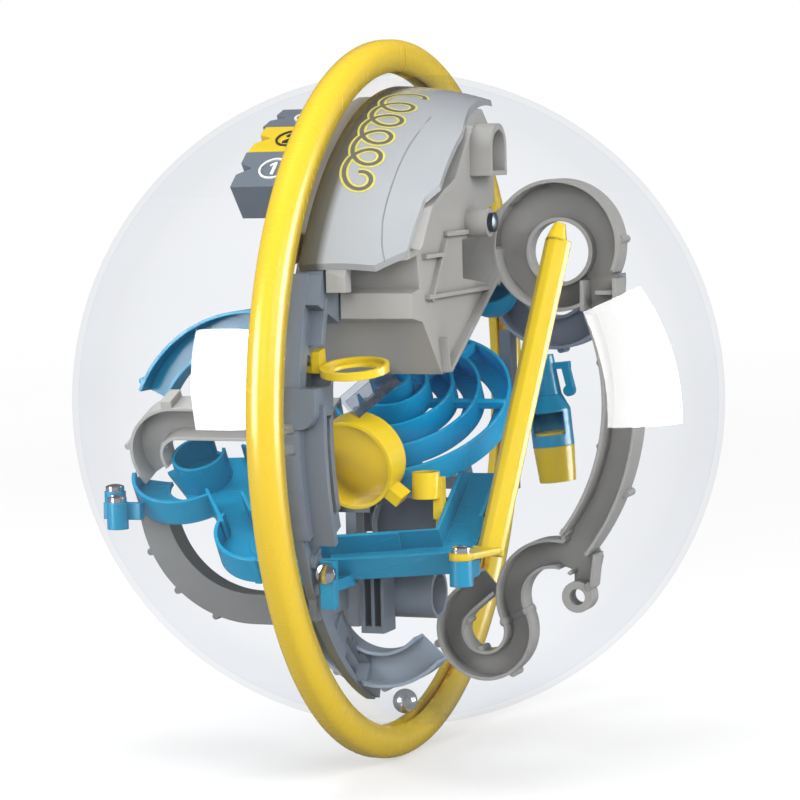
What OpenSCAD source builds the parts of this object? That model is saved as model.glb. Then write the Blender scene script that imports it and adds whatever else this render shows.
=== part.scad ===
// Tilt maze game: a clear ball with a raised marble track inside.
// Origin at the ball centre, +X along the ring axis, +Z up, -Y towards the player.

/* [Ball and ring] */
// Outer radius of the two clear half shells
shell_radius = 97.3; // [97:0.1:97.4]
// Wall thickness of the half shells
shell_wall = 1.8; // [1.4:0.1:2]
// Outer radius of the yellow equator ring
ring_radius = 107; // [105:0.5:109]
// Width of the ring along its axis
ring_width = 9; // [8:0.5:11]
// Flat band left around the outside of the ring
land_width = 2.0; // [1.6:0.2:4.4]
// Gap between the two ring halves at the top
ring_gap = 0.7; // [0.4:0.1:1]

/* [Track] */
// Steel ball diameter
ball_diameter = 7.5; // [6:0.25:7.5]
// Clear width inside a track
track_inside = 7.9; // [7.8:0.1:8.2]
// Wall thickness of the plastic tracks
track_wall = 0.8; // [0.8:0.1:1]
// Height of a track wall above the floor underside
track_height = 7.5; // [6.5:0.5:8]
// Depth of the long side arc
arc_depth = 10.5; // [9:0.5:10.5]
// Lean of the blue tracks towards the player, degrees
lean = 32; // [31:0.5:33]

/* [Screws] */
// Head diameter of the bright screws
head_diameter = 5.6; // [5:0.2:6]
// Head height of the bright screws
head_height = 2.2; // [1.8:0.1:2.4]
// Shank diameter of the bright screws
shank_diameter = 2.6; // [2.2:0.1:2.8]

/* [Hidden] */
$fn = 64;
overlap = 0.02;
shell_inside = shell_radius - shell_wall;
rim_radius = shell_radius + 0.1;  // inside of the ring
bend_width = track_inside + 2 * track_wall - 0.6;
ball_drop = shell_inside - ball_diameter / 2 - 0.05;
screw_hole = shank_diameter + 0.1;
grey_wall = 1;    // channel wall and floor, unless stated
blue_wall = 1.1;

slate = [0.47, 0.52, 0.56];
warm = [0.62, 0.61, 0.57];
cool = [0.78, 0.80, 0.82];
blue = [0.10, 0.58, 0.78];
gold = [0.93, 0.80, 0.12];
clear = [0.85, 0.88, 0.95, 0.35];
steel = [0.75, 0.76, 0.78];
white = [0.95, 0.95, 0.95];
black = [0.1, 0.1, 0.12];
amber = [0.75, 0.5, 0.1];
dark_steel = [0.2, 0.22, 0.25];

// ---------- frames and shared shapes ----------
// local z becomes X, local x becomes Y, local y becomes Z
module about_x() rotate([90, 0, 90]) children();
// local z points at the player, local y points up
module face_player() rotate([90, 0, 0]) children();
// local z leans towards the player
module leaning() rotate([lean, 0, 0]) children();
module turn(angle) rotate([0, 0, angle]) children();

module block(at, size) translate(at) cube(size);
module rod(at, radius, height) translate(at) cylinder(r = radius, h = height);
module ball(radius) sphere(r = radius, $fn = 200);
// outline in the Y-Z plane, thickened to the right from x
module slab(x, thick) translate([x, 0, 0]) about_x() linear_extrude(thick) children();

// open channels: the floor underside is z = 0, the walls rise along +z
module channel_profile(width, height, wall) {
    half = width / 2;
    polygon([
        [-half, 0], [half, 0], [half, height], [half - wall, height],
        [half - wall, wall], [-half + wall, wall], [-half + wall, height], [-half, height]
    ]);
}
module channel_arc(radius, start, sweep, width, height, wall = grey_wall)
    turn(start) rotate_extrude(angle = sweep) translate([radius, 0])
        channel_profile(width, height, wall);
module channel_line(length, width, height, wall = grey_wall)
    about_x() linear_extrude(length) channel_profile(width, height, wall);
module channel_between(from, to, width, height, wall = grey_wall) {
    run = to - from;
    translate([from.x, from.y, 0]) turn(atan2(run.y, run.x))
        channel_line(norm(run), width, height, wall);
}
module band(inner, outer, low, high, start, sweep)
    turn(start) rotate_extrude(angle = sweep) translate([inner, low])
        square([outer - inner, high - low]);
module nub(x, y, diameter, height)
    translate([x, y, 0]) cylinder(d = diameter, h = height, $fn = 24);
module nubs_round(angles, radius, height)
    for (angle = angles) turn(angle) nub(radius, 0, 2.2, height);

head_dome = 6.2;
// domed head above z = 0, shank below it
module pan_screw(length) {
    intersection() {
        cylinder(d = head_diameter, h = head_height);
        translate([0, 0, head_height - head_dome]) sphere(r = head_dome);
    }
    translate([0, 0, -length]) cylinder(d = shank_diameter, h = length + overlap);
}

// ---------- ball shell and ring ----------
flange_radius = 99.5;
flange_width = 1.5;
groove_width = 3.2;

module half_shell() about_x() rotate_extrude() {
    intersection() {
        difference() {
            circle(r = shell_radius, $fn = 200);
            circle(r = shell_inside, $fn = 200);
        }
        square([shell_radius + 1, shell_radius + 1]);
    }
    translate([shell_inside + 0.3, 0])
        square([flange_radius - shell_inside - 0.3, flange_width]);
}
module shell_right() color(clear) half_shell();
module shell_left() color(clear) mirror([1, 0, 0]) half_shell();

// rounded ring section with a groove inside for the shell flanges
module ring_profile() {
    outer_round = (ring_width - land_width) / 2;
    inner_round = 2.4;
    depth = ring_radius - rim_radius;
    difference() {
        union() {
            translate([rim_radius, -ring_width/2 + outer_round]) square([depth, land_width]);
            translate([rim_radius, -ring_width/2 + inner_round])
                square([depth - outer_round, ring_width - 2 * inner_round]);
            translate([rim_radius + inner_round, -ring_width/2])
                square([depth - outer_round - inner_round, ring_width]);
            for (side = [-1, 1]) {
                translate([ring_radius - outer_round, side * land_width/2])
                    circle(r = outer_round);
                translate([rim_radius + inner_round, side * (ring_width/2 - inner_round)])
                    circle(r = inner_round);
            }
        }
        translate([rim_radius - 1, -groove_width/2]) square([4, groove_width]);
    }
}
gap_angle = asin(ring_gap / 2 / ring_radius);
bottom_gap = 0.03;  // degrees
half_sweep = 180 - gap_angle - bottom_gap;
module ring_half(start)
    color(gold) about_x() turn(start) rotate_extrude(angle = half_sweep) ring_profile();
module ring_near_half() ring_half(90 + gap_angle);
module ring_far_half() ring_half(-90 + bottom_gap);
// thin hoop in the ring groove
module seam_glue() color(amber) about_x() rotate_extrude()
    translate([rim_radius + 2.25, -1.1]) square([0.6, 2.2]);

// ---------- frame on the player side, just right of the ring plane ----------
// inner radius, outer radius, low x, high x, start angle, sweep
frame_bands = [
    [86.5, 91.5, 4.8, 9.6, 153, 47], [86.7, 91.3, 4.9, 7.6, 198.5, 49.5],
    [74, 87, 4.95, 6.6, 153, 46.4], [80, 87, 5, 6.7, 198.7, 49.1],
    [84.5, 86.8, 5.1, 13.6, 153.3, 13.7], [74.2, 75.8, 5.1, 12.6, 168, 31],
    [86.2, 88.4, 5.1, 15.6, 176, 26], [78, 88.2, 12.4, 13.5, 176.3, 25.4],
    [80.4, 90.6, 5.2, 8.6, 238, 10.6], [75, 91.3, 5, 13.3, 153.2, 5.5],
    [76.5, 90.7, 5.15, 13.1, 150.6, 3.1]
];
boss_width = 9.5;
boss_length = 14;
module frame_solid() {
    about_x() {
        for (row = frame_bands) band(row[0], row[1], row[2], row[3], row[4], row[5]);
        // radial ribs, tall above and low below
        for (angle = [157, 193]) turn(angle) block([75, -0.6, 5.3], [13, 1.2, 3.9]);
        for (angle = [206, 215, 224, 233])
            turn(angle) block([80.8, -0.6, 5.3], [6.7, 1.2, 2.1]);
    }
    // rounded boss block under the hoop
    block([5, -92.4, 4.5], [boss_width, boss_length, 6.4]);
    translate([5, -78.4, 4.5]) face_player() linear_extrude(boss_length)
        translate([boss_width / 2, 0]) intersection() {
            circle(d = boss_width);
            translate([-5, -5]) square([10, 5.1]);
        }
    // lower foot plate
    block([5.2, -77, -55], [2.2, 24, 8.4]);
    // arm that carries the centre beam
    block([-6, -77, -12], [11.5, 5, 7]);
}
module mid_frame() color(slate) translate([-4, 0, 0]) difference() {
    frame_solid();
    // two slots, then clearance cuts
    for (z = [-4, 1.6]) block([4, -95, z - 3.2], [4, 12, 3]);
    about_x() turn(231) block([82, -1.2, 3], [7, 16, 9]);
    about_x() band(79, 84.4, 4, 15, 178, 20);
    block([9.7, -87, 13], [6, 15, 9]);
}

// ---------- start housing, upper front ----------
housing_left = -4.5;
housing_width = 35.5;
housing_wall = 1.5;
housing_right = housing_left + housing_width;
rib_x = housing_right - overlap;
housing_radius = 91.4;
skin_outer = 91.5;
skin_inner = 89.8;
screw_boss = [-22, 53.2];  // Y, Z
screw_boss_length = 6.5;

// outlines: Y, Z
housing_side = [
    [-79, 44], [-66, 45.5], [-64, 36.5], [-70, 35.5], [-70, 28.5], [-62, 27],
    [-47.5, 11.5], [-44.5, 11.5], [1.1, 36.4], [1.1, 78], [-14, 90], [-40, 90], [-84, 70]
];
housing_void = [
    [-76.5, 46.2], [-64.2, 47.2], [-62.2, 35], [-68.3, 34], [-68.3, 30], [-61, 28.6],
    [-46.8, 13.4], [1.6, 38.6], [1.6, 79], [-14, 92], [-45, 92], [-84, 74]
];
side_cutback = [
    [-28, 37.5], [-28, 48.6], [-17.8, 48.6], [-14, 50], [-6, 56.5], [2, 58.5],
    [2, 34.6], [-6.6, 35]
];
lip_outline = [
    [-70.6, 47.2], [-62.6, 56.4], [-51.2, 61.4], [-41.4, 64.4], [-33.6, 72],
    [-25.6, 80.6], [-26.8, 81.6], [-35, 73.4], [-42.2, 66], [-52, 63], [-63.8, 57.8],
    [-71.8, 48.4]
];
// seen along the panel's own axis: X across, then up-slope
label_outline = [
    [2.8, -49.3], [23.6, -46.6], [31.2, -40.5], [32.3, -23.3], [35, -17.1],
    [34.2, 8.5], [30.6, 27.3], [28, 51.8], [2.8, 54.4]
];

module housing_body() difference() {
    intersection() {
        slab(housing_left, housing_width) polygon(housing_side);
        ball(housing_radius);
    }
    // hollow, leaving the curved skin and one partition
    difference() {
        slab(housing_left + housing_wall, housing_width - 2 * housing_wall)
            polygon(housing_void);
        difference() {
            ball(skin_outer);
            ball(skin_inner);
        }
        slab(11, 1.6) polygon(housing_side);
    }
    // space for the frame band
    about_x() band(73.5, 93, 0.4, 9.9, 145, 14);
    // scoop that lets the ball leave the wedge
    translate([18, -52, 8]) rotate([58, 0, 0]) cube([13.2, 2, 9]);
    // side wall cut back where the side track's chute comes in
    slab(19.5, 14) polygon(side_cutback);
}
module housing_ribs() {
    block([rib_x, -62, 44.5], [1.6, 16, 1.2]);
    block([rib_x, -60, 33.2], [1.6, 56, 1.2]);
    translate([rib_x, -58, 33]) rotate([-38, 0, 0]) cube([1.6, 1.2, 21]);
    translate([rib_x, -45.3, 11.9]) rotate([29, 0, 0]) cube([2.4, 48, 1.4]);
    translate([rib_x, -47, 12]) rotate([14, 0, 0]) cube([2.4, 1.3, 10]);
}
module start_housing() color(warm) {
    housing_body();
    // small web beside the frame
    intersection() {
        ball(housing_radius);
        block([10, -80.6, 36.2], [5.4, 5, 9.4]);
    }
    housing_ribs();
    // screw boss and its gusset
    translate([rib_x, screw_boss[0], screw_boss[1]]) about_x() difference() {
        cylinder(d = 8.4, h = screw_boss_length);
        translate([0, 0, 1]) cylinder(d = 3.2, h = 6);
    }
    block([rib_x, -44, 50], [1.4, 18, 1.4]);
    // folded lip of the side wall
    intersection() {
        ball(housing_radius);
        slab(rib_x, 3.2) polygon(lip_outline);
    }
}
// upright loop at the end of the lip
module lip_loop() color(warm) slab(housing_right, 6.5) difference() {
    union() {
        translate([-13, 74.5]) circle(r = 7);
        translate([-20, 66.5]) square([14, 8]);
    }
    translate([-13, 74]) circle(r = 5.6);
    translate([-18.6, 67.9]) square([11.2, 6]);
}
// curved panel lying on the housing skin
module label_panel() color(cool) intersection() {
    difference() {
        ball(93.2);
        ball(skin_outer);
    }
    rotate([30, 0, 0]) linear_extrude(120) polygon(label_outline);
}

// ---------- numbered start blocks, left of the ring plane ----------
// lower and upper angle of each block above the horizon
span_one = [47, 57];
span_two = [57.1, 66.8];
span_three = [66.9, 77.5];
block_inner = 76.5;
block_outer = 89;

function middle(span) = (span[0] + span[1]) / 2;
function spoke(radius, angle) = [-radius * cos(angle), radius * sin(angle)];
// local z points outwards at the given angle above the horizon
module outward(angle) rotate([90 - angle, 0, 0]) children();

module start_block(span, left) difference() {
    slab(left, housing_left - left) polygon([
        spoke(block_inner, span[0]), spoke(block_outer, span[0]),
        spoke(block_outer, span[1]), spoke(block_inner, span[1])
    ]);
    // arrow notch in the left end
    outward(middle(span)) translate([left, 0, 70]) linear_extrude(24)
        polygon([[-3, -4.5], [4, 0.6], [-3, 4.5]]);
    // slant on the left end
    outward(span[0]) translate([left, 0, 74]) rotate([0, -32, 0])
        block([-9, -3, -9], [9, 14, 14]);
}
module start_block_one() color(slate) start_block(span_one, -26.5);
module start_block_two() color(gold) start_block(span_two, -26);
module start_block_three() color(slate) start_block(span_three, -27);

mark_height = 0.4;
// ringed numeral standing on the outer face of a block
module mark(span) outward(middle(span))
    translate([-15.5, 0, block_outer * cos((span[1] - span[0]) / 2)]) {
        difference() {
            cylinder(d = 9, h = mark_height);
            translate([0, 0, -1]) cylinder(d = 7.8, h = 3);
        }
        linear_extrude(mark_height) children();
    }
module numeral_one() polygon([
    [-0.4, -2.6], [0.5, -2.6], [0.5, 2.6], [-0.3, 2.6], [-1.4, 1.6], [-1.4, 0.9], [-0.4, 1.5]
]);
module numeral_two() {
    difference() {
        translate([0, 1]) circle(d = 3.4, $fn = 32);
        translate([0, 1]) circle(d = 1.8, $fn = 32);
        translate([-3, -2]) square([3, 3]);
    }
    polygon([
        [-1.8, -2.6], [1.8, -2.6], [1.8, -1.8], [-0.4, -1.8], [1.4, 0.2], [0.8, 0.9],
        [-1.8, -1.9]
    ]);
}
module numeral_three() difference() {
    union() {
        translate([0, 1.2]) circle(d = 3, $fn = 32);
        translate([0, -1.2]) circle(d = 3.2, $fn = 32);
    }
    translate([0, 1.2]) circle(d = 1.4, $fn = 32);
    translate([0, -1.2]) circle(d = 1.6, $fn = 32);
    translate([-3, -1.4]) square([3, 2.8]);
}
module mark_one() color(white) mark(span_one) numeral_one();
module mark_two() color(black) mark(span_two) numeral_two();
module mark_three() color(white) mark(span_three) numeral_three();

// ---------- long grey side track on the right ----------
// Places are X, Z; depth runs towards the player from the back plane.
side_back = 10.6;
side_height = 9.5;
dish = [49.3, 45.5];
dish_hole = [49.5, 43.5, 0];
chute_top = [37.5, 54.4];
eyelet = [53.6, -58.8, 0];
// the two S circles meet end to end
bend_upper = [46.3, -59.3, 0];
bend_lower = [24.6, -69.8, 0];
bend_joint = [34.24, -65.14, -0.2];
bend_run = bend_upper - bend_lower;
bend_angle = atan2(bend_run.y, bend_run.x);
upper_radius = 13.4;
lower_radius = norm(bend_run) - upper_radius;
side_nubs = [
    [62, 11], [61.6, -13.8], [69, -27.6], [50.2, -39.4], [30.6, -67.2], [18.4, -67.2],
    [23, -75.9], [9.6, -74.4], [33.2, -82.4], [74.1, 4], [57.4, -55.4], [68.6, 47]
];
chute_floor = [
    [12, 34.6], [32, 34.2], [40, 44], [36, 57], [26, 51.5], [20.6, 47.8], [12, 47.8]
];
chute_cover = [
    [20.4, 34.1], [32.1, 34.3], [38.5, 42], [33.6, 53], [37.5, 61], [30, 54.4],
    [26, 51.8], [20.4, 47.7]
];
junction_floor = [
    [48.6, -39.3], [58.2, -43], [60.2, -47], [58.2, -55.6], [51.2, -55], [51.2, -50]
];

module dish_hollow() rod([dish.x, dish.y, 1.2], 18.4, 12);
module side_dish() difference() {
    rod([dish.x, dish.y, 0], 19.5, side_height);
    dish_hollow();
    // mouths to the chute and to the arc
    translate([chute_top.x, chute_top.y, 1.2]) turn(233) block([-2, -4.4, 0], [14, 8.8, 12]);
    block([58, 22, 1.2], [9, 16, 12]);
}
// chute back to the start housing
module side_chute() difference() {
    union() {
        channel_between(chute_top, [22.8, 34.8], 10.4, side_height, 1.1);
        linear_extrude(1.1) polygon(chute_floor);
        block([12, 34, 0], [20.2, 1.15, 9.4]);
        block([12, 46.8, 0], [9.6, 1.1, 9.4]);
        block([12, 34.2, 0], [1.1, 13.4, 9.4]);
        translate([0, 0, 8.3]) linear_extrude(1.15) polygon(chute_cover);
    }
    dish_hollow();
    block([13.2, 35.3, 1.2], [12, 11.3, 7]);
}
module dish_outlet() {
    block([61.5, 31, 0], [5.2, 1.2, side_height]);
    block([56.8, 26.2, 0], [1.1, 9, side_height]);
    block([67, 25.8, 0], [1.1, 10, 10.6]);
    block([57, 24, 0], [11, 12, 1.1]);
}
module side_junction() {
    linear_extrude(1) polygon(junction_floor);
    translate([58.9, -45.6, 0]) turn(-97) cube([10, 1.1, track_height]);
    block([49.2, -42.5, 0], [1.1, 4, track_height]);
}
module s_bend() {
    translate(bend_upper)
        channel_arc(upper_radius, 52, 126.5 + bend_angle, bend_width, track_height);
    translate(bend_lower)
        channel_arc(lower_radius, 131, 227.5 + bend_angle, bend_width, track_height);
    // thicker sleeve over the joint
    translate(bend_joint) turn(bend_angle + 90) translate([-0.9, 0, 0])
        channel_line(1.8, bend_width + 0.5, track_height + 0.5, 1.5);
    channel_between([17.5, -61.65], [25.2, -55.2], bend_width, track_height);
}
module side_track() color(warm) translate([0, side_back, 0]) face_player() difference() {
    union() {
        side_dish();
        // collar round the hole
        rod(dish_hole, 10.2, 5.5);
        side_chute();
        dish_outlet();
        channel_arc(68.6, -38.5, 61.5, 10.6, arc_depth);
        side_junction();
        rod(eyelet, 4.7, 6.5);
        s_bend();
        for (place = side_nubs) nub(place.x, place.y, 2.4, track_height - 0.6);
    }
    rod(dish_hole - [0, 0, 1], 9, 20);
    rod(eyelet - [0, 0, 1], 2.4, 20);
    // clear the channel where the arc meets the S bend
    translate([51.6, -46, 1]) turn(46) block([-5.5, -3.4, 0], [11, 7, 12]);
}

// ---------- yellow rail ----------
rail_top = [57.2, -22, 51.4];
rail_base = [45.2, -54.5, -37.7];
rail_foot = [42.6, -67, -38];
foot_angle = 73;
rail_outline = [
    [-4, 3.6], [-3.1, 4.1], [-0.5, 0.9], [0.5, 0.9], [3.1, 4.1], [4, 3.6],
    [3.6, 1.6], [1.1, -0.8], [-1.1, -0.8], [-3.6, 1.6]
];
module yellow_rail() color(gold) {
    run = rail_top - rail_base;
    length = norm(run);
    heading = atan2(run.y, run.x);
    translate(rail_base) rotate([0, acos(run.z / length), heading]) turn(-heading - 12) {
        linear_extrude(length - 3) polygon(rail_outline);
        // pointed cap
        translate([0, 1.8, length - 3.2]) cylinder(r1 = 3.1, r2 = 1.7, h = 5);
        block([-3.9, -0.6, 0], [7.8, 4.6, 1.6]);
    }
    // foot with its screw eye
    translate(rail_foot) difference() {
        union() {
            cylinder(r = 3.4, h = 2);
            turn(foot_angle) block([0, -3.2, 0.1], [14.5, 6.4, 1.8]);
        }
        translate([0, 0, -1]) cylinder(d = screw_hole, h = 5);
    }
}

// ---------- blue tracks ----------
bracket_front = -79.6;
bracket_screw = [7.9, -41];  // X, Z
foot_post_height = 7.2;
module at_elbow() translate([1.1, -58.2, -42.2]) leaning() children();
module elbow_track() difference() {
    at_elbow() {
        turn(8) translate([-1, -1, 0]) channel_line(44, 11.4, track_height, blue_wall);
        translate([36, 0, 0]) turn(91) channel_line(42, 12.4, track_height, blue_wall);
        rod([37.5, 3.4, 0], 5.6, blue_wall);
    }
    // open the corner between the two channels
    at_elbow() {
        block([30.8, -0.6, blue_wall], [10.4, 14, 9]);
        turn(8) block([20, -5.9, blue_wall], [21.4, 10, 9]);
    }
    // seat for the rail
    block([41.2, -63, -39.3], [5.6, 16, 11.3]);
    translate(rail_foot) turn(foot_angle) block([-2, -3.4, -0.3], [17, 6.8, 3]);
}
module blue_elbow() color(blue) {
    elbow_track();
    // bracket at the frame end
    difference() {
        block([5.8, bracket_front, -51], [4.2, 3, 13.4]);
        translate([bracket_screw[0], -76, bracket_screw[1]]) face_player()
            cylinder(d = screw_hole, h = 8);
    }
    block([5.8, -78, -46.8], [3.2, 17, 3.2]);
    // post under the rail foot
    translate(rail_foot - [0, 0, foot_post_height]) difference() {
        union() {
            cylinder(r = 3.3, h = foot_post_height);
            block([-3, 0, 2.1], [6, 7, 5]);
        }
        translate([0, 0, 2]) cylinder(d = screw_hole, h = 9);
    }
}

// outer radius of each turn; each sits one step lower than the last
turn_radii = [10.8, 18, 25.4, 34];
turn_step = 2.2;
// bars that tie the turns together: angle, underside, height
spiral_bars = [[0, -4, 2.4], [-72, -8, 4.4], [62, -5, 2.6], [-128, -8, 4.4]];
module blue_spiral() color(blue) translate([6.4, -20, 3]) leaning() {
    // centre cup
    difference() {
        rod([0, 0, -1], 5.8, 7);
        rod([0, 0, 1], 4.8, 7);
    }
    for (i = [0:3]) {
        outer = turn_radii[i];
        low = -turn_step * i - 3.2;
        band(outer - 0.9, outer, low, low + 7.4, -150, 300 - 14 * i);
        band(outer - 6.2, outer, low, low + 1.1, -150, 286 - 14 * i);
    }
    for (bar = spiral_bars) turn(bar[0]) block([4.5, -0.9, bar[1]], [29, 1.8, bar[2]]);
    // stepped stem
    rod([0, 0, -9], 5.2, 9);
    rod([0, 0, -34], 3, 26);
}

// ---------- small pieces in the middle ----------
module yellow_hoop() color(gold) translate([17.2, -79, 14.4]) rotate([10, 0, 0]) difference() {
    union() {
        cylinder(r = 9.6, h = 2.2);
        block([-14.55, -1, 0], [8.15, 4.4, 2]);
        block([-12.2, -1.2, 0], [2.6, 4.8, 6]);
    }
    rod([0, 0, 1], 8.4, 3);
    rod([0, 0, -1], 6, 5);
}
module yellow_drum() color(gold) translate([7, -58, -13.5]) rotate([104, 0, -6]) {
    difference() {
        rod([0, 0, -9], 13, 9.5);
        rod([0, 0, -7.8], 11.9, 12);
        block([-14, 3, -7.8], [9, 14, 12]);
    }
    translate([8.4, -8.6, -6]) turn(-40) cube([5.4, 3.4, 6]);
    block([-16, -2, -9], [4, 5, 6]);
}
module small_cup() color(gold) translate([25.6, -47.5, -23.6]) difference() {
    union() {
        cylinder(r = 4, h = 7.5);
        block([2, 0, -6], [2.85, 3, 12]);
        block([2, 2, -9], [2.85, 5, 6]);
    }
    rod([0, 0, 1], 3.1, 8);
}
// sloping chute with four cross ridges on its floor
module clear_chute() color(clear) translate([8.6, -61, -0.4]) rotate([0, -38, 32]) {
    translate([1.6, 0, 0]) channel_line(15.2, 12, 6, 0.9);
    for (i = [0:3]) block([3 + 4 * i, -5.3, 0.8], [0.8, 10.6, 0.5]);
}

// ---------- grey pieces low in the ball ----------
module lower_bowl() color(slate) translate([9.5, -38, -54.5]) face_player() {
    channel_arc(19.4, 166, 152, 10.4, 7.6);
    nubs_round([200, 236, 272], 24.8, 6);
}
// drum with its top cut away
module lower_drum() color(slate) translate([17, -32, -33]) rotate([90, 0, 24]) difference() {
    union() {
        rod([0, 0, -11], 13, 12);
        block([-15, -3, -11], [30, 6, 3]);
    }
    rod([0, 0, -9.6], 11.6, 12);
    block([-20, 6, -12], [40, 12, 14]);
}
// cup lying on its side, open to the right
module lower_tube() color(slate) translate([12, -36.5, -52.6]) about_x() difference() {
    cylinder(r = 7, h = 13);
    rod([0, 0, 1.4], 5.8, 14);
}
// post with two slots open towards the player
module rib_post() color(slate) translate([7, -52.5, -62]) difference() {
    cube([7, 9, 26]);
    for (i = [0, 1]) block([1.2 + 2.9 * i, -1, 2], [1.9, 8.6, 25]);
}

// ---------- left hand side ----------
module left_grey_track() color(cool) translate([-61.5, -15.4, -13.4]) rotate([112, 0, 0]) {
    channel_arc(11.4, 90 - 0.1, 124, 10.8, 8);
    translate([-0.1, 11.4, 0]) channel_line(51.6, 10.8, 8);
    nub(-17.6, 3, 2.2, 7);
    nub(-5.4, 3.6, 2.2, 7);
    block([-3.2, 16, 0], [3.4, 3, 8]);
}

loop_width = 10.2;
loop_height = track_height + 0.8;
loop_one = [-1, 3, 0];
loop_two = [35, -22, 0];
loop_floor = [
    [-12, 9], [-4, 16], [12, 17], [34, 6], [42, -10], [42, -28], [24, -28], [16, -14], [2, -6]
];
module at_left_cup() translate([-58.2, -15.6, -19.2]) leaning() children();
// two lobes, the channels joining them, and a tail to the right
module loop_solid() {
    translate(loop_one) channel_arc(12.4, 172, 156, loop_width, loop_height, blue_wall);
    translate(loop_two) channel_arc(12.2, 168, 100, loop_width, loop_height, blue_wall);
    channel_between([12.6, -4.6], [23.2, -19.6], loop_width, loop_height, blue_wall);
    channel_between([35.2, -34.2], [64.8, -34.2], loop_width, loop_height, blue_wall);
    translate([34, -34.3, -0.2]) channel_line(2, 10.7, track_height + 1.2, 1.6);
    // broad floor under the cup and between the two lobes
    linear_extrude(blue_wall) polygon(loop_floor);
    translate([11, 16.6, 0]) turn(-25.5) cube([25, 0.9, 6]);
}
module left_blue_loop() color(blue) difference() {
    translate([-60, -22, -21]) leaning() translate([0, 0, -8.2]) difference() {
        loop_solid();
        translate([14.8, -8, blue_wall]) turn(-55) block([-9, -4, 0], [12, 8, 12]);
        block([12, -8, blue_wall], [16, 10, 12]);
        block([30, -20, blue_wall], [8, 10, 12]);
        rod(loop_two + [0, 0, 1.3], 8.55, 12);
        rod(loop_one + [0, 0, 1.3], 8.75, 12);
    }
    // seat for the cup
    at_left_cup() rod([0, 0, -5.5], 8.4, 20);
    block([-80, -22.5, -23], [2.85, 9, 7]);
}
module left_cup() color(blue) at_left_cup() difference() {
    rod([0, 0, -5.5], 8.38, 9.9);
    block([-9.4, -2, -6], [1.25, 8, 12]);
    rod([0, 0, -4.2], 7.4, 12);
    block([2, 3, -1], [10, 10, 10]);
}

left_post = [-80.4, -30, -34];
post_step = [3.4, -5.6, -2.6];  // from the first post to the second
left_post_height = 8;
module left_screw_block() color(blue) translate(left_post) difference() {
    union() {
        for (at = [[0, 0, 0], post_step]) rod(at, 3.2, left_post_height);
        block([-2, -4, 0], [12, 3, 5]);
    }
    translate([0, 0, 2]) cylinder(d = screw_hole, h = 9);
    translate([post_step.x, post_step.y, 0]) cylinder(d = screw_hole, h = 9);
}
// low arc whose walls face away from the player
module left_dark_arc()
    color(slate) translate([0, -20, 0]) rotate([-90, 0, 0]) translate([-40, 29, 0]) {
        channel_arc(33, 90, 86, 9, 8);
        translate([0, 33, 0]) channel_line(30, 9, 8);
        nubs_round([154, 132, 110], 37.8, 7);
    }
module upper_blue_track()
    color(blue) translate([0, 6, 0]) face_player() translate([-47, -15, 0]) {
        channel_arc(37, 70, 86, 9.6, 8);
        nubs_round([152], 42.2, 7);
    }

// ---------- centre beam ----------
// corner, size
core_bars = [
    [[-10, -72, -12], [3.5, 78, 4]], [[-10, -41, -49.4], [3.5, 5, 39.4]],
    [[-10, -36, -29.8], [14, 5, 4.8]], [[-4, -36, -29.8], [8, 68, 4.8]],
    [[-10, -41, -29.8], [3.5, 10, 4.8]], [[-2, 24, -29.8], [30, 6, 3.8]],
    [[24, 24, -29.8], [3.6, 6, 49]], [[-10, -20, -66], [3.5, 8, 56]],
    [[4, -24, -36], [6, 4, 11]], [[-38, 0, -12], [30, 6, 4]],
    [[-38, 0, -12], [3.6, 6, 27.2]]
];
module core_beam() color(slate) {
    for (bar = core_bars) block(bar[0], bar[1]);
    // stiffening ribs
    for (y = [-60, -24, -12]) block([-9.2, y, -8.4], [1.6, 1.4, 3.4]);
    for (y = [-20, 0, 16]) block([-4, y, -25.2], [8, 1.4, 2]);
}

// ---------- right hand side, behind the centre ----------
module rear_bowl() color(blue) {
    translate([25.5, 13.6, 31.5]) rotate([35, 0, 0]) rotate_extrude() difference() {
        intersection() {
            circle(r = 8);
            translate([0, -10]) square([10, 11.5]);
        }
        circle(r = 7);
        // drain hole
        translate([-1, -20]) square([3.4, 16]);
    }
    block([24, 20.4, 27.6], [3.4, 3, 4]);
}
module rear_grey_arc() color(slate) translate([42, 30.2, 34]) face_player() {
    channel_arc(15.6, 176, 190, 10, 7.8);
    nubs_round([274, 206], 20.8, 6);
}

// post, dome and bucket share one tilted axis
module on_post_axis() translate([39.9, 22, -0.4]) rotate([0, -6, 0]) children();
module blue_post() color(blue) on_post_axis() {
    cylinder(r1 = 4.2, r2 = 3, h = 12.2);
    // hook on the right
    block([0, -1.2, 7.6], [8, 2.4, 2]);
    translate([6.6, -1.2, 0.4]) rotate([0, -8, 0]) cube([2.2, 2.4, 9]);
    translate([7, 1.2, 0.8]) face_player() cylinder(r = 1.7, h = 2.4);
}
dome_wall_height = 11;
module blue_dome() color(blue) on_post_axis() translate([0, 0, -15.4]) difference() {
    union() {
        cylinder(r = 6.3, h = dome_wall_height);
        translate([0, 0, dome_wall_height - overlap])
            cylinder(r1 = 6.3, r2 = 4.3, h = 4.4 + overlap);
        block([-7, 1, 1.5], [2, 3, 6]);
    }
    rod([0, 0, -1], 5.4, 11.6);
    // window in the front, where the ball drops in
    block([-4.7, -9, 3.5], [9.8, 8.2, 6.8]);
}
module yellow_bucket() color(gold) on_post_axis() translate([0, 0, -26.2]) difference() {
    union() {
        cylinder(r1 = 5.5, r2 = 6.25, h = 10.8);
        cylinder(r = 5.3, h = 15);
    }
    translate([0, 0, 1.1]) cylinder(r1 = 4.3, r2 = 4.5, h = 20);
}

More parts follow.
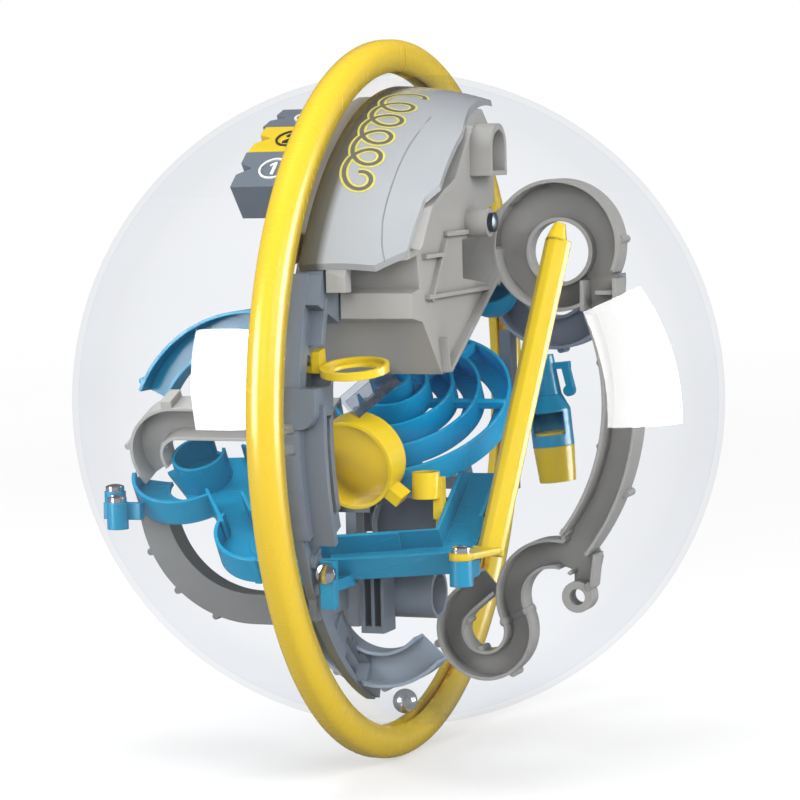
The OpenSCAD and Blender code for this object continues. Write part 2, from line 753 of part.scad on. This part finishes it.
// ---------- fasteners and ball ----------
module bright_screws() color(steel) {
    translate(rail_foot + [0, 0, 2]) pan_screw(7);
    for (step = [[0, 0, 0], post_step])
        translate(left_post + step + [0, 0, left_post_height]) pan_screw(5);
    translate([bracket_screw[0], bracket_front, bracket_screw[1]]) face_player()
        pan_screw(2.4);
}
module dark_screw() color(dark_steel)
    translate([housing_right + screw_boss_length, screw_boss[0], screw_boss[1]])
        about_x() pan_screw(4);
module frame_pins() color(cool)
    for (place = [[-79.5, -38], [-76.4, -46]])
        translate([3.6, place[0], place[1]]) about_x() cylinder(r = 2.1, h = 1.5);
// resting at the bottom of the shell
module steel_ball() color(steel) translate([0, 0, -ball_drop]) sphere(d = ball_diameter);

shell_left();
shell_right();
ring_near_half();
ring_far_half();
seam_glue();
mid_frame();
start_housing();
lip_loop();
label_panel();
start_block_one();
start_block_two();
start_block_three();
mark_one();
mark_two();
mark_three();
side_track();
yellow_rail();
blue_elbow();
blue_spiral();
yellow_hoop();
yellow_drum();
small_cup();
clear_chute();
lower_bowl();
lower_drum();
lower_tube();
rib_post();
left_grey_track();
left_blue_loop();
left_cup();
left_screw_block();
left_dark_arc();
upper_blue_track();
core_beam();
rear_bowl();
rear_grey_arc();
blue_post();
blue_dome();
yellow_bucket();
bright_screws();
dark_screw();
frame_pins();
steel_ball();
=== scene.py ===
"""Looks of a tilt maze game: a clear ball-shaped case with a hoop round it and coloured
tracks inside. The case is centred on the origin, the hoop's circle lies in the plane x = 0,
and the camera looks from -Y and a little from +X. Lengths are in metres, except where a
name or comment says mm."""
import math

import bpy
from mathutils import Matrix, Vector


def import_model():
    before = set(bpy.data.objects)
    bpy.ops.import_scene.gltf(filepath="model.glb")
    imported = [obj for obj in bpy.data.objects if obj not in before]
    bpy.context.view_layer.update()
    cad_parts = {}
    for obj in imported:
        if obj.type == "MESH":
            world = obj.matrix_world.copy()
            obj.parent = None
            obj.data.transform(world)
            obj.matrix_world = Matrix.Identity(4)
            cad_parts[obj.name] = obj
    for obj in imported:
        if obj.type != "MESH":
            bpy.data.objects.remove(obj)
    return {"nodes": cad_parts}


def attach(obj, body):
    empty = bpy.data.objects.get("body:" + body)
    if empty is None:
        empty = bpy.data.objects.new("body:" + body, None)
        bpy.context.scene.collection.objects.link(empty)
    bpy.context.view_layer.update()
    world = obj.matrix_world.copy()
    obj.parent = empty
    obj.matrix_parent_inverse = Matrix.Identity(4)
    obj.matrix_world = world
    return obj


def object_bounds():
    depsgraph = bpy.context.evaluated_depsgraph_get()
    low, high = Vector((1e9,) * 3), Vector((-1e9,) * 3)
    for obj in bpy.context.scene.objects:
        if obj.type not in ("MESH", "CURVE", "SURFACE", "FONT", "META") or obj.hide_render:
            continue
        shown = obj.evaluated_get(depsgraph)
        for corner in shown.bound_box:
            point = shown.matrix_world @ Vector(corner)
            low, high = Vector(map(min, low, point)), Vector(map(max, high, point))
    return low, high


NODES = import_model()["nodes"]
CAD_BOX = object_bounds()
ROOT = "case_and_tracks"
SCENE = bpy.context.scene
SCENE.cycles.transparent_max_bounces = 24

MM_PER_M = 1000.0
HOOP_RADIUS = 0.1022  # centre circle of the hoop's tube
CASE_OUTER = 0.0964  # case surfaces beyond this radius count as its outer face
LABEL_TILT = math.radians(30.0)  # the label's plane is turned this far about X
WHITE = (1.0, 1.0, 1.0)


# ---------------------------------------------------------------- helpers
class Tree:
    """Wires the nodes of a material or a world. Unless noted, methods return sockets."""

    def __init__(self, owner, output="ShaderNodeOutputMaterial"):
        owner.use_nodes = True
        self.owner = owner
        self.tree = owner.node_tree
        self.tree.nodes.clear()
        self.output = self.node(output)

    def node(self, kind, inputs=None, **settings):
        """Add a node and return it; inputs maps input names or numbers to values or sockets."""
        node = self.tree.nodes.new(kind)
        for key, value in settings.items():
            setattr(node, key, value)
        for key, value in (inputs or {}).items():
            self.put(node.inputs[key], value)
        return node

    def socket(self, kind, inputs=None, **settings):
        return self.node(kind, inputs, **settings).outputs[0]

    def put(self, target, value):
        if hasattr(value, "is_linked"):
            self.tree.links.new(value, target)
        elif isinstance(value, (tuple, list)) and len(value) == 3 and target.type == "RGBA":
            target.default_value = (*value, 1.0)
        else:
            target.default_value = value

    def finish(self, surface):
        """Link the surface to the output and return the material or world."""
        self.put(self.output.inputs[0], surface)
        return self.owner

    def math(self, operation, a, b=0.0, clamp=False):
        return self.socket("ShaderNodeMath", {0: a, 1: b}, operation=operation, use_clamp=clamp)

    def add(self, a, b, clamp=False):
        return self.math("ADD", a, b, clamp)

    def sub(self, a, b, clamp=False):
        return self.math("SUBTRACT", a, b, clamp)

    def mul(self, a, b, clamp=False):
        return self.math("MULTIPLY", a, b, clamp)

    def vector(self, operation, a, b=None):
        inputs = {0: a} if b is None else {0: a, 1: b}
        node = self.node("ShaderNodeVectorMath", inputs, operation=operation)
        return node.outputs["Value" if operation in ("DOT_PRODUCT", "LENGTH") else "Vector"]

    def mix(self, factor, a, b):
        node = self.node("ShaderNodeMix", data_type="RGBA", blend_type="MIX")
        for index, value in ((0, factor), (6, a), (7, b)):
            self.put(node.inputs[index], value)
        return node.outputs[2]

    def mix_shader(self, factor, a, b):
        return self.socket("ShaderNodeMixShader", {0: factor, 1: a, 2: b})

    def ramp(self, factor, stops):
        """Colour ramp; stops are (position, grey or colour)."""
        node = self.node("ShaderNodeValToRGB", {0: factor})
        elements = node.color_ramp.elements
        while len(elements) < len(stops):
            elements.new(0.5)
        for element, (position, colour) in zip(elements, stops):
            element.position = position
            if not isinstance(colour, (tuple, list)):
                colour = (colour, colour, colour)
            element.color = (*colour, 1.0)
        return node.outputs[0]

    def rise(self, factor, start, end):
        """0 up to start, 1 from end on."""
        return self.ramp(factor, [(start, 0.0), (end, 1.0)])

    def position(self):
        return self.node("ShaderNodeTexCoord").outputs["Object"]

    def coord(self, scale=(1, 1, 1), rot=(0, 0, 0), position=None):
        if position is None:
            position = self.position()
        return self.socket("ShaderNodeMapping",
                           {"Vector": position, "Scale": scale, "Rotation": rot})

    def noise(self, vector, scale, detail=2.0, rough=0.5, warp=0.0):
        return self.socket("ShaderNodeTexNoise", {
            "Vector": vector, "Scale": scale, "Detail": detail, "Roughness": rough,
            "Distortion": warp})

    def bump(self, height, strength, depth, normal=None):
        inputs = {"Strength": strength, "Distance": depth, "Height": height}
        if normal is not None:
            inputs["Normal"] = normal
        return self.socket("ShaderNodeBump", inputs)

    def round_edges(self, radius):
        return self.socket("ShaderNodeBevel", {"Radius": radius}, samples=4)

    def fresnel(self):
        return self.socket("ShaderNodeFresnel", {"IOR": 1.5})

    def facing(self, blend):
        return self.node("ShaderNodeLayerWeight", {"Blend": blend}).outputs["Facing"]

    def ideal_normal(self, ideal, least_match):
        """The ideal normal where the true one agrees with it, else the mesh's own."""
        geometry = self.node("ShaderNodeNewGeometry").outputs
        match = self.vector("DOT_PRODUCT", ideal, geometry["True Normal"])
        node = self.node("ShaderNodeMix", data_type="VECTOR")
        inputs = (0, self.math("GREATER_THAN", match, least_match)), (4, geometry["Normal"])
        for index, value in (*inputs, (5, ideal)):
            self.put(node.inputs[index], value)
        return node.outputs[1]

    def tube_normal(self):
        """Normal of the hoop's tube from its centre circle, which hides the mesh's flats."""
        oval = 0.88  # how much the radial part counts against the part along X
        x, y, z = self.node("ShaderNodeSeparateXYZ", {0: self.position()}).outputs
        radius = self.math("SQRT", self.add(self.mul(y, y), self.mul(z, z)))
        radial = self.mul(self.math("DIVIDE", self.sub(radius, HOOP_RADIUS), radius), oval)
        normal = self.socket("ShaderNodeCombineXYZ",
                             {0: x, 1: self.mul(y, radial), 2: self.mul(z, radial)})
        return self.ideal_normal(self.vector("NORMALIZE", normal), least_match=0.72)


def new_material(name):
    return Tree(bpy.data.materials.new(name))


def shade(colour, gain, lift=0.0):
    return tuple(min(1.0, c * gain + lift) for c in colour)


def mesh_object(name, points, faces, material, smooth=False):
    mesh = bpy.data.meshes.new(name)
    mesh.from_pydata([tuple(point) for point in points], [], faces)
    if smooth:
        for face in mesh.polygons:
            face.use_smooth = True
    mesh.materials.append(material)
    return link_object(name, mesh)


def link_object(name, data):
    new = bpy.data.objects.new(name, data)
    SCENE.collection.objects.link(new)
    return new


# ---------------------------------------------------------------- materials
def plastic(name, colour, rough, grain, edge=0.00035, worn=0.25, coat=0.0, glow=0.0, seed=0.0,
            rim_wear_and_glow_colour=None, shade_in=0.75, uneven=0.7, rough_var=0.6):
    """Moulded plastic: uneven colour, mould grain, scratches, painted shade in corners and
    lighter rubbed edges that are partly painted light.

    edge is the rounding radius, or 0 for the hoop's tube; worn, shade_in, uneven and
    rough_var are amounts of edge rub with painted edge glow, painted corner shade, colour change
    and roughness change.
    """
    t = new_material(name)
    v = t.vector("ADD", t.coord(), (seed, seed * 0.7, -seed))
    normal = t.round_edges(edge) if edge else t.tube_normal()
    blotch = t.noise(v, scale=26.0, detail=3.0, rough=0.55)
    cloud = t.noise(v, scale=150.0, detail=3.0, rough=0.6)
    fine_grain = t.noise(v, scale=2600.0, rough=0.6)
    orange_peel = t.noise(v, scale=420.0)

    # large uneven patches
    patches = t.mul(t.sub(blotch, 0.35, clamp=True), 1.1)
    base = t.mix(patches, shade(colour, 1.0 - 0.07 * uneven), shade(colour, 1.0 + 0.06 * uneven))
    base = t.mix(t.mul(cloud, 0.22 * uneven), base, shade(colour, gain=0.86))

    # rubbed edges, where the rounded normal leaves the mesh's own: painted lighter, partly edge
    # wear and partly painted light glowing through thin edges
    own_normal = t.node("ShaderNodeNewGeometry").outputs["Normal"]
    agreement = t.vector("DOT_PRODUCT", normal, own_normal)
    rim = t.mul(t.sub(1.0, agreement, clamp=True), 3.2, clamp=True)
    patchy = t.ramp(t.noise(v, scale=95.0, detail=3.0, rough=0.6), [(0.35, 0.25), (0.7, 1.0)])
    rub = t.mul(rim, patchy)
    rim_wear_and_glow_colour = rim_wear_and_glow_colour or shade(colour, gain=1.25, lift=0.05)
    base = t.mix(t.mul(rub, worn), base, rim_wear_and_glow_colour)

    # painted shade: hollows and corners are darker, by ambient occlusion
    occlusion = t.node("ShaderNodeAmbientOcclusion", {"Distance": 0.009, "Normal": normal},
                       samples=6, only_local=True)
    painted_hollow_shade = t.ramp(occlusion.outputs["AO"], [(0.25, 1.0), (0.85, 0.0)])
    base = t.mix(t.mul(painted_hollow_shade, shade_in), base, shade(colour, gain=0.42))

    # pale specks, well under a millimetre
    speck = t.rise(t.noise(v, scale=1500.0, detail=1.0, rough=0.4), start=0.74, end=0.79)
    base = t.mix(t.mul(speck, 0.15), base, shade(colour, gain=1.15, lift=0.08))

    # scratches, stretched along one direction
    along_scratch = t.coord(scale=(18.0, 420.0, 60.0), rot=(0.3, 0.5, 0.9))
    scratch = t.noise(along_scratch, scale=3.2, detail=3.0, rough=0.62, warp=0.4)
    scratch = t.rise(scratch, start=0.60, end=0.66)
    roughness = t.add(rough - 0.07 * rough_var, t.mul(cloud, 0.15 * rough_var))
    roughness = t.add(roughness, t.mul(scratch, 0.07 * rough_var))

    height = t.add(t.mul(fine_grain, 0.4), t.mul(orange_peel, 0.6))
    normal = t.bump(height, strength=grain, depth=0.00012, normal=normal)
    surface = t.socket("ShaderNodeBsdfPrincipled", {
        "Base Color": base, "Roughness": roughness, "IOR": 1.52,
        "Coat Weight": coat, "Coat Roughness": 0.08, "Normal": normal})
    if glow:
        through = t.socket("ShaderNodeBsdfTranslucent",
                           {"Color": shade(colour, gain=1.25), "Normal": normal})
        surface = t.mix_shader(glow, surface, through)
    t.owner.diffuse_color = (*colour, 1.0)
    return t.finish(surface)


def clear_case(name):
    """Thin polished clear plastic with a cool tint edge on, faint haze and fine rub marks."""
    t = new_material(name)
    v = t.coord()
    facing = t.facing(blend=0.5)
    wide = t.math("POWER", facing, 5.0)
    thin = t.math("POWER", facing, 22.0)
    tint = t.mix(wide, (0.975, 0.980, 0.988), (0.964, 0.972, 0.985))
    tint = t.mix(thin, tint, (0.940, 0.950, 0.970))
    clear = t.socket("ShaderNodeBsdfTransparent", {"Color": tint})

    along_scratch = t.coord(scale=(30.0, 500.0, 90.0), rot=(0.2, 0.9, 0.4))
    scratch = t.noise(along_scratch, scale=2.4, detail=3.0, rough=0.65, warp=0.6)
    scratch = t.rise(scratch, start=0.64, end=0.72)
    smear = t.noise(v, scale=24.0, detail=3.0, rough=0.55, warp=0.7)
    roughness = t.add(0.012, t.add(t.mul(smear, 0.02), t.mul(scratch, 0.006)))
    slow_wave = t.mul(t.noise(v, scale=9.0, detail=1.0, rough=0.4), 1.0)
    fine_wave = t.mul(t.noise(v, scale=300.0, detail=1.0, rough=0.4), 0.004)
    gloss = t.socket("ShaderNodeBsdfGlossy", {
        "Color": WHITE, "Roughness": roughness,
        "Normal": t.bump(t.add(slow_wave, fine_wave), strength=0.25, depth=0.0004)})

    # only the outer face, seen from outside, reflects and looks hazy
    fresnel = t.fresnel()
    backfacing = t.node("ShaderNodeNewGeometry").outputs["Backfacing"]
    outer = t.math("GREATER_THAN", t.vector("LENGTH", v), CASE_OUTER)
    front = t.mul(t.sub(1.0, backfacing), outer)
    capped = t.math("MINIMUM", t.mul(fresnel, 1.1), 0.13)
    reflection = t.mul(capped, front, clamp=True)

    haze = t.socket("ShaderNodeBsdfDiffuse", {"Color": (0.92, 0.94, 1.0)})
    scratch_haze = t.mul(scratch, 0.0012)
    smear_haze = t.mul(t.rise(smear, start=0.4, end=0.9), 0.008)
    haze_gain = 1.0  # overall strength of the haze
    haze_amount = t.mul(t.mul(t.add(scratch_haze, smear_haze), haze_gain), front)
    body = t.mix_shader(haze_amount, clear, haze)
    t.owner.diffuse_color = (0.9, 0.93, 1.0, 0.15)
    return t.finish(t.mix_shader(reflection, body, gloss))


def ribbed_clear(name):
    """Clear plastic that turns grey where it is seen edge on."""
    t = new_material(name)
    v = t.coord()
    edge_on = t.math("POWER", t.facing(blend=0.55), 1.6)
    tint = t.mix(edge_on, (0.86, 0.88, 0.91), (0.42, 0.45, 0.50))
    clear = t.socket("ShaderNodeBsdfTransparent", {"Color": tint})
    roughness = t.add(0.05, t.mul(t.noise(v, scale=300.0), 0.08))
    normal = t.bump(t.noise(v, scale=500.0), strength=0.3, depth=0.0003,
                    normal=t.round_edges(0.0004))
    gloss = t.socket("ShaderNodeBsdfGlossy", {"Roughness": roughness, "Normal": normal})
    return t.finish(t.mix_shader(t.add(t.fresnel(), 0.06, clamp=True), clear, gloss))


def metal(name, colour, rough, brushed=0.3, metallic=1.0):
    """Metal with small dull spots and brushed streaks."""
    t = new_material(name)
    v = t.coord()
    along_streak = t.coord(scale=(60.0, 900.0, 120.0), rot=(0.5, 0.2, 0.7))
    streak = t.noise(along_streak, scale=2.0, detail=3.0, rough=0.6)
    spots = t.noise(v, scale=700.0, detail=3.0, rough=0.6)
    base = t.mix(t.mul(spots, 0.5), colour, shade(colour, gain=0.72))
    roughness = t.add(rough, t.mul(streak, 0.12))
    height = t.add(t.mul(streak, brushed), t.mul(spots, 0.3))
    normal = t.bump(height, strength=0.12, depth=0.0001, normal=t.round_edges(0.0003))
    return t.finish(t.socket("ShaderNodeBsdfPrincipled", {
        "Metallic": metallic, "Base Color": base, "Roughness": roughness, "Normal": normal}))


def glue(name):
    """Amber glue squeezed along the seam: blotchy, wet looking and lumpy."""
    t = new_material(name)
    v = t.coord()
    small = t.noise(v, scale=240.0, detail=4.0, rough=0.65, warp=0.6)
    large = t.noise(v, scale=70.0, detail=3.0, rough=0.6, warp=0.9)
    base = t.ramp(small, [
        (0.30, (0.16, 0.045, 0.008)), (0.46, (0.60, 0.20, 0.01)),
        (0.60, (0.92, 0.45, 0.015)), (0.8, (0.95, 0.62, 0.04))])
    base = t.mix(t.rise(large, start=0.45, end=0.62), base, (0.93, 0.60, 0.02))
    roughness = t.add(0.12, t.mul(large, 0.25))
    normal = t.bump(t.add(small, t.mul(large, 1.4)), strength=0.9, depth=0.0009)
    return t.finish(t.socket("ShaderNodeBsdfPrincipled", {
        "Base Color": base, "Roughness": roughness, "Normal": normal}))


def ink_and_painted_shade(name, colour):
    """Printed ink, slightly worn; the crease line uses it for painted shade."""
    t = new_material(name)
    v = t.coord()
    worn = t.rise(t.noise(v, scale=900.0, detail=3.0, rough=0.6), start=0.3, end=0.62)
    return t.finish(t.socket("ShaderNodeBsdfPrincipled", {
        "Base Color": t.mix(worn, shade(colour, gain=0.82), colour),
        "Roughness": t.add(0.35, t.mul(worn, 0.2)),
        "Normal": t.bump(t.noise(v, scale=1800.0), strength=0.2, depth=0.00008)}))


def label_film(name):
    """Printed film: pale grey, uneven, with a painted shadow of the hoop along its edge."""
    t = new_material(name)
    v = t.coord()
    position = t.position()
    on_panel = t.coord(rot=(-LABEL_TILT, 0.0, 0.0), position=position)
    x = t.node("ShaderNodeSeparateXYZ", {0: on_panel}).outputs["X"]
    cloud = t.noise(v, scale=60.0, detail=3.0, rough=0.6)
    base = t.mix(cloud, (0.31, 0.32, 0.325), (0.36, 0.37, 0.375))

    # painted shadow of the hoop: the film darkens towards the hoop, within the first centimetre
    # of x
    hoop_shadow_end, per_length = 0.0028, 50.0
    out_of_hoop_shadow = t.ramp(t.mul(t.sub(x, hoop_shadow_end), per_length, clamp=True),
                           [(0.0, 0.0), (0.23, 0.10), (0.36, 1.0)])
    base = t.mix(out_of_hoop_shadow, (0.055, 0.050, 0.038), base)
    roughness = t.add(0.22, t.mul(t.noise(v, scale=200.0, detail=3.0), 0.02))

    # the film lies on a true sphere, so its outer face takes the sphere's own normal
    sphere = t.ideal_normal(t.vector("NORMALIZE", position), least_match=0.95)
    normal = t.bump(t.noise(v, scale=900.0), strength=0.10, depth=0.0001, normal=sphere)
    return t.finish(t.socket("ShaderNodeBsdfPrincipled", {
        "Base Color": base, "Roughness": roughness,
        "Coat Weight": 0.35, "Coat Roughness": 0.1, "Normal": normal}))


def hoop_plastic(name, seed):
    """Smooth, even yellow with a light coat."""
    return plastic(name, (0.62, 0.43, 0.024), rough=0.27, grain=0.012, edge=0.0, worn=0.0,
                   coat=0.12, seed=seed, uneven=0.3, shade_in=0.0, rough_var=0.12)


# ---------------------------------------------------------------- materials on the CAD pieces
YELLOW = (0.84, 0.60, 0.014)
BLUE = (0.010, 0.335, 0.57)
WHITE_INK = (0.86, 0.86, 0.84)

MATERIALS = {
    "shell_left": clear_case("clear_case_left"),
    "shell_right": clear_case("clear_case_right"),
    "seam_glue": glue("amber_glue"),
    "clear_chute": ribbed_clear("clear_ribbed"),
    "label_panel": label_film("label_film"),
    "mark_one": ink_and_painted_shade("white_ink_one", WHITE_INK),
    "mark_two": ink_and_painted_shade("black_ink_two", (0.02, 0.02, 0.02)),
    "mark_three": ink_and_painted_shade("white_ink_three", WHITE_INK),
    "bright_screws": metal("bright_screw_steel", (0.78, 0.78, 0.80), rough=0.10),
    "dark_screw": metal("dark_screw_steel", (0.10, 0.115, 0.14), rough=0.28),
    "steel_ball": metal("ball_steel", (0.62, 0.64, 0.68), rough=0.14, brushed=0.05,
                        metallic=0.75),
    "ring_near_half": hoop_plastic("hoop_yellow_near", seed=0.3),
    "ring_far_half": hoop_plastic("hoop_yellow_far", seed=0.9),
}

# colour family: (plastic settings, pieces)
FAMILIES = {
    "yellow": (
        dict(colour=YELLOW, rough=0.20, grain=0.08, glow=0.10),
        "yellow_rail yellow_hoop yellow_drum small_cup yellow_bucket start_block_two"),
    "blue": (
        # strong edge rub and a pale rim colour: painted light glowing through the thin blue
        # edges, over edge wear
        dict(colour=BLUE, rough=0.24, grain=0.08, glow=0.16,
             worn=0.75, edge=0.00055, rim_wear_and_glow_colour=(0.10, 0.52, 0.74)),
        "blue_elbow blue_spiral left_blue_loop left_cup left_screw_block upper_blue_track "
        "rear_bowl blue_post blue_dome"),
    "warm": (
        dict(colour=(0.335, 0.325, 0.305), rough=0.34, grain=0.12),
        "side_track start_housing lip_loop"),
    "pale": (
        dict(colour=(0.50, 0.485, 0.455), rough=0.34, grain=0.12),
        "left_grey_track"),
    "slate": (
        dict(colour=(0.145, 0.172, 0.207), rough=0.30, grain=0.12),
        "mid_frame start_block_one start_block_three lower_drum lower_tube rib_post "
        "lower_bowl core_beam frame_pins"),
    "olive": (
        dict(colour=(0.115, 0.118, 0.112), rough=0.34, grain=0.12),
        "left_dark_arc"),
    "mist": (
        dict(colour=(0.21, 0.24, 0.30), rough=0.30, grain=0.12),
        "rear_grey_arc"),
}
# settings of single pieces that differ from their family's
PIECE_LOOKS = {
    # the rail's yellow is a darker copy of the family's: painted shade
    "yellow_rail": dict(colour=shade(YELLOW, gain=0.84), edge=0.0011),
    "blue_spiral": dict(colour=shade(BLUE, gain=1.25), glow=0.30, shade_in=0.35),
    # the elbow's blue is a darker copy of the family's: painted shade
    "blue_elbow": dict(colour=shade(BLUE, gain=0.78), glow=0.12),
    "lower_bowl": dict(colour=(0.26, 0.31, 0.37)),
    "left_grey_track": dict(shade_in=1.0),
}
for family, (family_look, pieces) in FAMILIES.items():
    for i, piece in enumerate(pieces.split()):
        look = {**family_look, **PIECE_LOOKS.get(piece, {})}
        # no two pieces of a family have quite the same brightness
        look["colour"] = shade(look["colour"], 1.0 + 0.03 * math.sin(7.0 * i + len(piece)))
        MATERIALS[piece] = plastic(f"{family}_{piece}", seed=0.37 * i + 0.1, **look)

for piece, piece_object in NODES.items():
    piece_object.data.materials.clear()
    piece_object.data.materials.append(MATERIALS[piece])


# ---------------------------------------------------------------- print on the label (mm)
def ribbon(name, points, half_width, radius, material):
    """A thin line on a sphere, for the print and the painted crease shade, given by (x, y)
    points in the label's tilted plane.
    """
    tilt = Matrix.Rotation(LABEL_TILT, 4, "X")
    verts, faces = [], []
    for i, (x, y) in enumerate(points):
        before, after = points[max(i - 1, 0)], points[min(i + 1, len(points) - 1)]
        course = Vector((after[0] - before[0], after[1] - before[1]))
        course.normalize()
        for side in (-half_width, half_width):
            across, along = x - course.y * side, y + course.x * side
            height = math.sqrt(radius * radius - across * across - along * along)
            verts.append((tilt @ Vector((across, along, height))) / MM_PER_M)
        if i:
            faces.append((2 * i - 2, 2 * i - 1, 2 * i + 1, 2 * i))
    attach(mesh_object(name, verts, faces, material, smooth=True), ROOT)


def motif_points():
    """A chain of loops running down the label and narrowing a little."""
    loops, steps = 5.25, 360
    centre_x, top_y, run = 12.9, 25.5, 50.0
    half_across, narrowing, half_along = 5.3, 1.1, 5.4
    points = []
    for k in range(steps + 1):
        part = k / steps
        angle = 2.0 * math.pi * loops * part
        points.append((centre_x + (half_across - narrowing * part) * math.cos(angle),
                       top_y - run * part + half_along * math.sin(angle)))
    return points


# x, y along the crease, from top to bottom
CREASE = [
    (21.8, 42.0), (24.4, 23.3), (24.2, 11.1), (23.8, 1.4), (23.3, -6.2), (23.1, -14.4),
    (23.1, -22.4), (23.1, -28.4), (23.4, -34.5), (24.5, -40.8), (26.2, -45.1),
]
MOTIF = motif_points()
ribbon("label_motif_outline", MOTIF, half_width=1.25, radius=93.27,
       material=ink_and_painted_shade("label_yellow_ink", (0.62, 0.55, 0.10)))
ribbon("label_motif_line", MOTIF, half_width=0.62, radius=93.31,
       material=ink_and_painted_shade("label_dark_ink", (0.13, 0.12, 0.10)))
# a dark line along the label's crease: painted shade in the fold
ribbon("label_crease", CREASE, half_width=0.16, radius=93.29,
       material=ink_and_painted_shade("label_crease_shade", (0.20, 0.20, 0.195)))

# ---------------------------------------------------------------- softboxes and lamps
SOFTBOX_DISTANCE = 0.8  # from each start point, along its direction
# for each corner: start point near the case (mm), unit direction away from it
LEFT_CORNERS = [
    ((-24.7, -90.2, 26.7), (-0.798, -0.490, 0.352)),
    ((-3.7, -93.4, 27.0), (-0.462, -0.777, 0.427)),
    ((-2.8, -97.3, 0.2), (-0.447, -0.890, -0.092)),
    ((-23.6, -94.4, -0.3), (-0.792, -0.602, -0.101)),
]
RIGHT_CORNERS = [
    ((74.9, -54.7, 29.4), (0.907, 0.078, 0.413)),
    ((84.7, -32.3, 35.3), (0.729, 0.578, 0.368)),
    ((93.9, -24.0, -8.5), (0.664, 0.724, -0.186)),
    ((80.9, -53.8, -5.6), (0.975, 0.115, -0.190)),
]


def softbox(name, corners, strength):
    """A glowing card seen only in reflections."""
    t = new_material(name + "_light")
    glow = t.socket("ShaderNodeEmission", {"Color": WHITE, "Strength": strength})
    points = [Vector(start) / MM_PER_M + Vector(direction) * SOFTBOX_DISTANCE
              for start, direction in corners]
    card = mesh_object(name, points, [(0, 1, 2, 3)], t.finish(glow))
    card.visible_camera = False
    card.visible_diffuse = False
    card.visible_transmission = False
    card.visible_shadow = False
    card.visible_volume_scatter = False


def square_lamp(name, place, target, size, power):
    """A square area lamp that doesn't show in reflections."""
    light = bpy.data.lights.new(name, "AREA")
    light.energy = power
    light.shape = "RECTANGLE"
    light.size = size
    light.size_y = size
    lamp = link_object(name, light)
    lamp.location = place
    aim = Vector(target) - Vector(place)
    lamp.rotation_euler = aim.to_track_quat("-Z", "Y").to_euler()
    lamp.visible_glossy = False


softbox("softbox_left", LEFT_CORNERS, strength=19.0)
softbox("softbox_right", RIGHT_CORNERS, strength=15.0)
square_lamp("key_left", (-0.95, -0.70, 0.42), target=(0, 0, 0.01), size=0.42, power=8.0)
square_lamp("key_right", (0.92, -0.42, 0.42), target=(0, 0, 0), size=0.5, power=10.0)
square_lamp("top", (-0.15, -0.25, 1.1), target=(0, 0, 0), size=0.6, power=8.0)
square_lamp("front", (0.25, -1.30, 0.40), target=(0, 0, 0), size=0.5, power=8.0)


# ---------------------------------------------------------------- world, floor and camera
def studio_world():
    """White to the camera, dim and cool in reflections, soft white fill for the rest."""
    t = Tree(bpy.data.worlds.new("studio"), output="ShaderNodeOutputWorld")
    ray = t.node("ShaderNodeLightPath").outputs
    fill = t.socket("ShaderNodeBackground", {"Color": WHITE, "Strength": 0.60})
    seen = t.socket("ShaderNodeBackground", {"Color": WHITE, "Strength": 1.0})
    mirrored = t.socket("ShaderNodeBackground", {"Color": (0.9, 0.95, 1), "Strength": 0.16})
    unseen = t.mix_shader(ray["Is Glossy Ray"], fill, mirrored)
    return t.finish(t.mix_shader(ray["Is Camera Ray"], unseen, seen))


# distance from the middle of the floor, glow seen by the camera
FLOOR_GLOW = [
    (0.0, 0.44), (0.4, 0.46), (0.6, 0.50), (0.86, 0.555), (1.01, 0.595), (1.19, 0.635),
    (1.4, 0.662), (1.67, 0.697), (2.0, 0.722), (2.44, 0.736), (3.0, 0.745), (4.5, 0.762),
]
GLOW_REACH = 4.6  # distance at the end of the glow's ramp


def pale_floor():
    """Pale paper whose own glow, seen only by the camera, makes up for the lamps' fading."""
    t = new_material("pale_floor")
    ray = t.node("ShaderNodeLightPath").outputs
    paper = t.mix(t.noise(t.coord(), scale=3.0), (0.40, 0.40, 0.405), (0.42, 0.42, 0.42))
    paper = t.mix(ray["Is Glossy Ray"], paper, (0.20, 0.20, 0.21))
    diffuse = t.socket("ShaderNodeBsdfDiffuse", {"Color": paper})
    distance = t.vector("LENGTH", t.position())
    strength = t.ramp(t.math("DIVIDE", distance, GLOW_REACH),
                      [(place / GLOW_REACH, glow) for place, glow in FLOOR_GLOW])
    glowing = t.socket("ShaderNodeEmission", {"Strength": strength})
    black = t.socket("ShaderNodeEmission", {"Strength": 0.0})
    glow = t.mix_shader(ray["Is Camera Ray"], black, glowing)
    return t.finish(t.socket("ShaderNodeAddShader", {0: diffuse, 1: glow}))


def add_floor():
    """A flat square just under the lowest CAD point."""
    half, gap = 9.0, 0.0002
    z = CAD_BOX[0].z - gap
    corners = [(-half, -half, z), (half, -half, z), (half, half, z), (-half, half, z)]
    mesh_object("floor", corners, [(0, 1, 2, 3)], pale_floor())


def add_camera():
    data = bpy.data.cameras.new("camera")
    data.lens = 132.52
    data.sensor_width = 36.0
    data.clip_start = 0.05
    data.clip_end = 50.0
    camera = link_object("camera", data)
    # columns of the camera's matrix: its right, up and backward directions and its place
    columns = [
        (0.93625394, 0.35066556, -0.02149928, 0.0),
        (-0.01048782, 0.08906467, 0.99597063, 0.0),
        (0.35116742, -0.93225595, 0.08706486, 0.0),
        (0.31034791, -0.82275506, 0.07652007, 1.0),
    ]
    camera.matrix_world = Matrix(columns).transposed()
    SCENE.camera = camera


SCENE.world = studio_world()
add_floor()
add_camera()
SCENE.view_settings.view_transform = "Standard"
SCENE.view_settings.look = "None"
